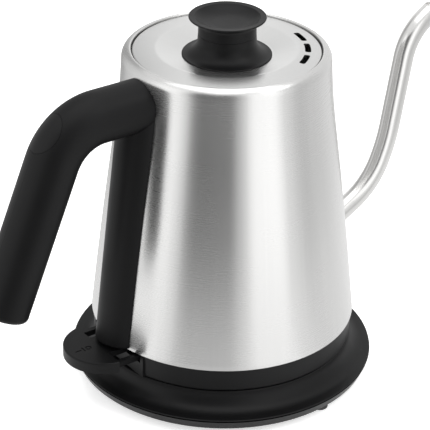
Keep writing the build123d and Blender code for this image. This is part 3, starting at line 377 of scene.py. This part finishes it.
def carve(obj, *parts):
    """Cuts closed shapes, each a (points, faces) pair, out of a piece."""
    verts, faces = [], []
    for part_verts, part_faces in parts:
        faces += [[i + len(verts) for i in face] for face in part_faces]
        verts += part_verts
    mesh = bpy.data.meshes.new("tool")
    mesh.from_pydata([Vector(v) * MM for v in verts], [], faces)
    bm = bmesh.new()
    bm.from_mesh(mesh)
    bmesh.ops.recalc_face_normals(bm, faces=bm.faces)
    bm.to_mesh(mesh)
    bm.free()
    tool = bpy.data.objects.new("tool", mesh)
    bpy.context.scene.collection.objects.link(tool)
    modifier = obj.modifiers.new("carve", "BOOLEAN")
    modifier.operation = "DIFFERENCE"
    modifier.solver = "EXACT"
    modifier.object = tool
    evaluated = obj.evaluated_get(bpy.context.evaluated_depsgraph_get())
    cut = bpy.data.meshes.new_from_object(evaluated)
    obj.modifiers.clear()
    bpy.data.objects.remove(tool)
    obj.data = cut
    cut.shade_smooth()
    cut.set_sharp_from_angle(angle=MESH_SHARP)


# ---- steel body -----------------------------------------------------------------------
# radius and height on the body's outer face, as in the CAD
BODY_FOOT, BODY_MID, BODY_TOP, NECK = (70, 33.5), (63.8, 87.5), (56.7, 141.5), (53.45, 177.5)
WALL = 0.8
LOWER_ROLL = [
    (69.2, 34.2), (69.25, 33.8), (69.45, 33.55), (69.75, 33.5), (69.93, 33.62), (70.0, 33.9),
]
MOUTH_AND_LEDGE = [
    (48.85, 182.1), (48.65, 181.9), (48.6, 181.6), (48.6, 175.4),
    (44.6, 175.4), (44.6, 174.6), (49.4, 174.6), (49.4, 180.6),
]
SPOUT_ROOT, SPOUT_WAY = (62, 0, 54.7), (38.9, 0, 20.6)
SPOUT_HOLE_R, SPOUT_HOLE_SIDES = 5.9, 48
SPOUT_HOLE_REACH = (-8, 16)  # the hole's ends, before and past the root


def body_outline(inset, neck_end):
    """The body's side from its lower edge up to the shoulder's end, moved inwards."""
    foot, mid, upper, neck_top = [(r - inset, z) for r, z in (BODY_FOOT, BODY_MID, BODY_TOP, NECK)]
    wall, way = circle_arc(foot, mid, upper, 36)
    neck, way = tangent_arc(wall[-1], way, neck_top, 14)
    shoulder, _ = tangent_arc(neck[-1], way, neck_end, 14)
    return wall + neck[1:] + shoulder[1:]


outside = body_outline(0, (49.2, 182.2))
inside = body_outline(WALL, (49.6, 181.2))
body_path = [Vector(p) for p in LOWER_ROLL] + outside[1:]
body_path += [Vector(p) for p in MOUTH_AND_LEDGE] + inside[::-1][1:-1]
steel_body = made(
    "steel_body_look", *lathe_mesh(body_path), STEEL_SIDE, "kettle", "steel_body", "brushed_steel"
)

root_way = Vector(SPOUT_WAY).normalized()
root_up = Vector((0, 1, 0)).cross(root_way) * -1
hole_turns = [TAU * k / SPOUT_HOLE_SIDES for k in range(SPOUT_HOLE_SIDES)]
hole_circle = [(SPOUT_HOLE_R * cos(g), SPOUT_HOLE_R * sin(g)) for g in hole_turns]
carve(steel_body, prism(hole_circle, SPOUT_ROOT, (0, 1, 0), root_up, *SPOUT_HOLE_REACH))

# ---- lid ------------------------------------------------------------------------------
# radius, height and rounding of each corner of the lid's disc, as in the CAD
LID_CORNERS = [
    (2.2, 178.8), (23.5, 178.8, 6.0), (36.0, 182.1, 7.0), (47.9, 181.3, 0.7), (47.9, 178.4),
    (47.1, 178.4), (47.1, 180.5, 0.4), (36.0, 181.3, 7.0), (23.5, 178.0, 6.0), (2.2, 178.0),
]
VENT_R, VENT_HALF_W, VENT_HALF_L, VENT_ROUND = 40.9, 1.55, 5.5, 1.1
VENT_BEARINGS = (-13.0, -33.2, -53.6)
VENT_CUT_Z = (178.5, 184)

lid_top = made(
    "lid_top_look", *lathe_mesh(soft_path(LID_CORNERS)),
    STEEL_DISC, "lid", "lid_top", "brushed_steel",
)


def vent_outline(bearing):
    """Curved slot about the axis with rounded corners."""
    along, across = VENT_HALF_L - VENT_ROUND, VENT_HALF_W - VENT_ROUND
    flat = []
    for quarter, (sx, sy) in enumerate(((1, 1), (-1, 1), (-1, -1), (1, -1))):
        for k in range(7):
            g = radians(90 * quarter + 15 * k)
            flat.append((sx * along + VENT_ROUND * cos(g), sy * across + VENT_ROUND * sin(g)))
        if sx * sy > 0:
            flat += [(sx * along * (1 - k / 4), sy * VENT_HALF_W) for k in range(1, 8)]
    turned = [(VENT_R + t, radians(bearing) + a / VENT_R) for a, t in flat]
    return [(r * cos(g), r * sin(g)) for r, g in turned]


carve(
    lid_top,
    *[prism(vent_outline(b), (0, 0, 0), (1, 0, 0), (0, 1, 0), *VENT_CUT_Z) for b in VENT_BEARINGS],
)

# ---- camera ---------------------------------------------------------------------------
CAMERA_PLACE = (-0.5512, -0.7449, 0.5873)
CAMERA_BEARING, CAMERA_DOWN, CAMERA_ROLL = radians(53.784), radians(28.411), radians(0.991)
CAMERA_LENS, SENSOR_WIDTH = 167.44, 36.0
CLIP_NEAR, CLIP_FAR = 0.05, 20

camera_data = bpy.data.cameras.new("camera")
camera = bpy.data.objects.new("camera", camera_data)
bpy.context.scene.collection.objects.link(camera)
bpy.context.scene.camera = camera
camera_data.sensor_width = SENSOR_WIDTH
camera_data.lens = CAMERA_LENS
camera_data.clip_start, camera_data.clip_end = CLIP_NEAR, CLIP_FAR
ahead = Vector(
    (
        cos(CAMERA_BEARING) * cos(CAMERA_DOWN),
        sin(CAMERA_BEARING) * cos(CAMERA_DOWN),
        -sin(CAMERA_DOWN),
    )
)
right = ahead.cross(Vector((0, 0, 1))).normalized()
up = right.cross(ahead)
rolled_right = right * cos(CAMERA_ROLL) + up * sin(CAMERA_ROLL)
rolled_up = up * cos(CAMERA_ROLL) - right * sin(CAMERA_ROLL)
axes = zip(rolled_right, rolled_up, -ahead, CAMERA_PLACE)
camera.matrix_world = Matrix((*axes, (0, 0, 0, 1)))


# ---- light and floor ------------------------------------------------------------------
MIDDLE = (0, 0, 0.1)  # about the kettle's middle
CAMERA_SIDE = -126.2  # bearing of the camera seen from the kettle, in degrees


def area_light(name, place, target, width, height, power):
    """Rectangular softbox at place that faces target."""
    data = bpy.data.lights.new(name, "AREA")
    data.shape = "RECTANGLE"
    data.size, data.size_y = width, height
    data.energy = power
    lamp = bpy.data.objects.new(name, data)
    bpy.context.scene.collection.objects.link(lamp)
    place, target = Vector(place), Vector(target)
    lamp.location = place
    lamp.rotation_mode = "QUATERNION"
    lamp.rotation_quaternion = (target - place).to_track_quat("-Z", "Y")


def about(azimuth, elevation, distance):
    """Place round the kettle's middle, azimuth in degrees anticlockwise from the camera."""
    a = radians(CAMERA_SIDE + azimuth)
    e = radians(elevation)
    return Vector((cos(a) * cos(e), sin(a) * cos(e), sin(e))) * distance + Vector(MIDDLE)


world = bpy.data.worlds.new("world")
bpy.context.scene.world = world
world.use_nodes = True
world.node_tree.nodes["Background"].inputs["Color"].default_value = (1, 1, 1, 1)
world.node_tree.nodes["Background"].inputs["Strength"].default_value = 1.0
bpy.context.scene.view_settings.view_transform = "Standard"

# a studio wall of light panels and dark gaps round the kettle, seen only in reflections:
# share of a turn and light level, set so that the steel's bands match the photo's
PANELS = [
    (0.0, 1.08), (0.1, 0.45), (0.17, 0.8), (0.235, 0.95), (0.325, 1.45), (0.365, 1.4),
    (0.392, 1.0), (0.415, 0.3), (0.43, 0.17), (0.515, 0.22), (0.54, 0.7), (0.575, 1.45),
    (0.635, 1.5), (0.665, 0.95), (0.715, 0.68), (0.76, 0.8), (0.86, 0.95), (0.95, 0.95),
    (1.0, 1.08),
]
PANELS_TURN = 126.5  # degrees; puts a share of 0.5 on the camera's side
WALL_R, WALL_TOP = 300, 420
GROUND_R, STAGE_Z = 86, 0.5  # the ground ring clears the base and lies just above the floor
GROUND_FLAT_SHARE, GROUND_FLAT_LEVEL = 0.65, 1.1
FLOOR_HALF, FLOOR_GLOW = 6, 0.55


def glow(name, flat_share, flat_level):
    """Light that changes with the bearing, mixed with a flat level."""
    mat = bpy.data.materials.new(name)
    mat.use_nodes = True
    nodes, links = mat.node_tree.nodes, mat.node_tree.links
    nodes.clear()
    turn = nodes.new("ShaderNodeMapping")
    turn.inputs["Rotation"].default_value = (0, 0, radians(PANELS_TURN))
    links.new(object_coordinates(nodes), turn.inputs["Vector"])
    _, bearing, _ = radius_and_angle(nodes, links, turn.outputs["Vector"])
    ramp = nodes.new("ShaderNodeValToRGB")
    ramp.color_ramp.interpolation = "EASE"
    links.new(span(nodes, links, bearing, -pi, pi, 0.0, 1.0), ramp.inputs["Fac"])
    stops = ramp.color_ramp.elements
    while len(stops) < len(PANELS):
        stops.new(0.5)
    for stop, (place, level) in zip(stops, PANELS):
        shown = level * (1 - flat_share) + flat_level * flat_share
        stop.position = place
        stop.color = (shown, shown, shown, 1)
    emission = nodes.new("ShaderNodeEmission")
    links.new(ramp.outputs["Color"], emission.inputs["Color"])
    out = nodes.new("ShaderNodeOutputMaterial")
    links.new(emission.outputs["Emission"], out.inputs["Surface"])
    return mat


def reflected_only(name, path, mat):
    """Stage surface of revolution, seen only in reflections."""
    verts, faces = lathe_mesh(path, 96, False)
    mesh = bpy.data.meshes.new(name)
    mesh.from_pydata([Vector(v) * MM for v in verts], [], faces)
    mesh.materials.append(mat)
    obj = bpy.data.objects.new(name, mesh)
    bpy.context.scene.collection.objects.link(obj)
    obj.visible_camera = False
    obj.visible_diffuse = False
    obj.visible_shadow = False
    obj.visible_transmission = False


reflected_only(
    "studio_wall", [(WALL_R, STAGE_Z), (WALL_R, WALL_TOP)], glow("studio_wall_look", 0.0, 0.0)
)
reflected_only(
    "studio_ground",
    [(GROUND_R, STAGE_Z), (WALL_R, STAGE_Z)],
    glow("studio_ground_look", GROUND_FLAT_SHARE, GROUND_FLAT_LEVEL),
)

floor_mesh = bpy.data.meshes.new("floor")
quarters = ((-1, -1), (1, -1), (1, 1), (-1, 1))
floor_corners = [(x * FLOOR_HALF, y * FLOOR_HALF, 0) for x, y in quarters]
floor_mesh.from_pydata(floor_corners, [], [(0, 1, 2, 3)])
floor = bpy.data.objects.new("floor", floor_mesh)
bpy.context.scene.collection.objects.link(floor)
floor_mat, floor_nodes, floor_links, floor_shader = new_material("floor_look")
floor_tone = noise(floor_nodes, floor_links, object_coordinates(floor_nodes), 3.0, 2.0)
floor_colour = blended(floor_nodes, floor_links, floor_tone, (0.9, 0.9, 0.9), (0.92, 0.92, 0.92))
floor_links.new(floor_colour, floor_shader.inputs["Base Color"])
floor_shader.inputs["Roughness"].default_value = 0.9
floor_shader.inputs["Emission Color"].default_value = (1, 1, 1, 1)
floor_shader.inputs["Emission Strength"].default_value = FLOOR_GLOW
floor_shader.inputs["Specular IOR Level"].default_value = 0.1
floor_mesh.materials.append(floor_mat)

area_light("key_right", about(70, 40, 1.5), MIDDLE, 0.7, 1.0, 5)
area_light("overhead", (0, 0, 1.7), (0, 0, 0), 1.6, 1.6, 10)
